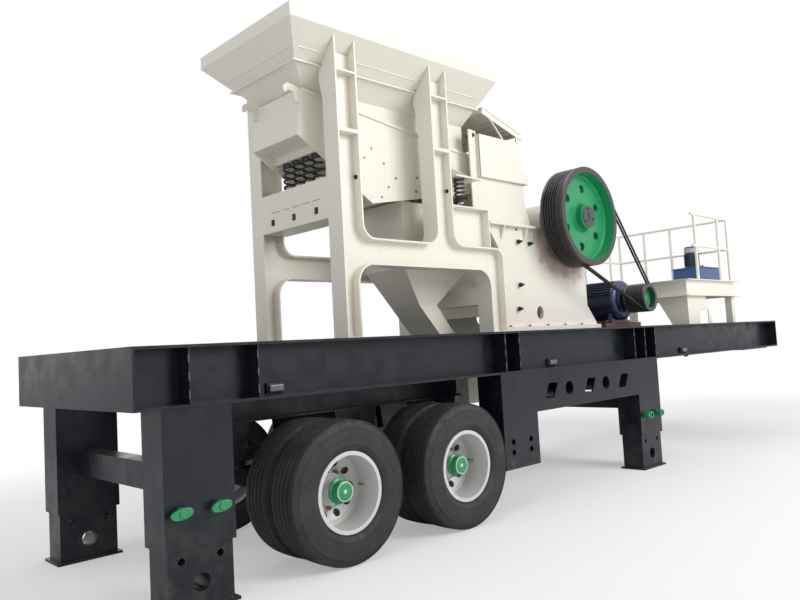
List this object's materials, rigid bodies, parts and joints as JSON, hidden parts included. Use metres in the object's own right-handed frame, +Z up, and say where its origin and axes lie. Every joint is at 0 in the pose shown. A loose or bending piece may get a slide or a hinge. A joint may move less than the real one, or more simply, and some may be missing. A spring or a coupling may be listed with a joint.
{
  "type": "mobile jaw crusher plant",
  "caption": "Trailer-mounted jaw crusher with a feed hopper on column frames, sloping vibrating feeder, flywheels driven by V-belts from a motor, telescopic legs and a railed power pack stand",
  "frame": {"origin": "On the ground, midway along the chassis and on the trailer's centre line", "axes": "+X along the trailer from the wheel end to the coupling end, +Y across it away from the belt side, +Z up"},
  "size_m": [10.6, 2.4, 4.47],
  "materials": {
    "chassis_paint": "semi-gloss dark navy paint with road dust",
    "cream_paint": "satin cream paint",
    "green_paint": "green paint",
    "flywheel_paint": "dark rim, green web",
    "blue_paint": "gloss blue paint",
    "rail_paint": "brown-red primer",
    "rim_paint": "silver-white wheel paint",
    "tyre": "dusty black tread rubber",
    "belt_rubber": "matt black",
    "bare_steel": "machined steel",
    "spring_steel": "black paint",
    "jaw_iron": "cast manganese steel"
  },
  "bodies": {
    "trailer": {"main_beams": "chassis_paint", "cross_members": "chassis_paint", "coupler_plate": "chassis_paint", "suspension_beams": "chassis_paint", "leaf_springs": "chassis_paint", "axles": "chassis_paint", "leg_housings": "chassis_paint", "clamp_screws": "green_paint", "mid_legs": "chassis_paint", "side_girders": "chassis_paint", "leg_ties": "chassis_paint", "support_frame_near": "cream_paint", "support_frame_far": "cream_paint", "upper_columns": "cream_paint", "frame_crossbeams": "cream_paint", "spring_brackets": "cream_paint", "hopper_rim": "cream_paint", "hopper_slope": "cream_paint", "hopper_throat": "cream_paint", "feeder_sides": "cream_paint", "feeder_pan": "cream_paint", "grizzly_bars": "bare_steel", "feeder_exciter": "cream_paint", "lifting_hooks": "cream_paint", "coil_springs": "spring_steel", "spring_seats": "cream_paint", "fines_hopper": "cream_paint", "fines_duct": "cream_paint", "crusher_sides": "cream_paint", "crusher_end_walls": "cream_paint", "fixed_jaw": "jaw_iron", "swing_jaw": "cream_paint", "shaft_bearings": "cream_paint", "feed_hood": "cream_paint", "hood_cover": "cream_paint", "drive_motor": "blue_paint", "motor_rails": "rail_paint", "drive_belts": "belt_rubber", "stand_frame": "cream_paint", "oil_tank": "blue_paint", "pump_motor": "blue_paint", "railing": "cream_paint"},
    "flywheels": {"eccentric_shaft": "bare_steel", "belt_flywheel": "flywheel_paint", "plain_flywheel": "flywheel_paint"},
    "pulley": {"motor_pulley": "flywheel_paint"},
    "wheel_near_1": {"tyres_near_1": "tyre", "rims_near_1": "rim_paint"},
    "wheel_near_2": {"tyres_near_2": "tyre", "rims_near_2": "rim_paint"},
    "wheel_far_1": {"tyres_far_1": "tyre", "rims_far_1": "rim_paint"},
    "wheel_far_2": {"tyres_far_2": "tyre", "rims_far_2": "rim_paint"},
    "left_near_leg": {"left_near_inner_leg": "chassis_paint"},
    "left_far_leg": {"left_far_inner_leg": "chassis_paint"},
    "right_near_leg": {"right_near_inner_leg": "chassis_paint"},
    "right_far_leg": {"right_far_inner_leg": "chassis_paint"}
  },
  "joints": [
    {"name": "flywheel_spin", "type": "hinge", "parent": "trailer", "child": "flywheels", "pos_m": [0.375, 0, 3.01], "axis": [0, 1, 0], "continuous": true},
    {"name": "pulley_spin", "type": "hinge", "parent": "trailer", "child": "pulley", "pos_m": [1.672, 0, 2.059], "axis": [0, 1, 0], "continuous": true},
    {"name": "wheel_near_1_spin", "type": "hinge", "parent": "trailer", "child": "wheel_near_1", "pos_m": [-3.7, -0.88, 0.54], "axis": [0, 1, 0], "continuous": true},
    {"name": "wheel_near_2_spin", "type": "hinge", "parent": "trailer", "child": "wheel_near_2", "pos_m": [-2.39, -0.88, 0.54], "axis": [0, 1, 0], "continuous": true},
    {"name": "wheel_far_1_spin", "type": "hinge", "parent": "trailer", "child": "wheel_far_1", "pos_m": [-3.7, 0.88, 0.54], "axis": [0, 1, 0], "continuous": true},
    {"name": "wheel_far_2_spin", "type": "hinge", "parent": "trailer", "child": "wheel_far_2", "pos_m": [-2.39, 0.88, 0.54], "axis": [0, 1, 0], "continuous": true},
    {"name": "left_near_leg_slide", "type": "slide", "parent": "trailer", "child": "left_near_leg", "axis": [0, 0, 1], "range_m": [0, 0.36]},
    {"name": "left_far_leg_slide", "type": "slide", "parent": "trailer", "child": "left_far_leg", "axis": [0, 0, 1], "range_m": [0, 0.36]},
    {"name": "right_near_leg_slide", "type": "slide", "parent": "trailer", "child": "right_near_leg", "axis": [0, 0, 1], "range_m": [0, 0.36]},
    {"name": "right_far_leg_slide", "type": "slide", "parent": "trailer", "child": "right_far_leg", "axis": [0, 0, 1], "range_m": [0, 0.36]}
  ],
  "couplings": [
    {"joint": "pulley_spin", "follows": "flywheel_spin", "ratio": 3.519}
  ]
}
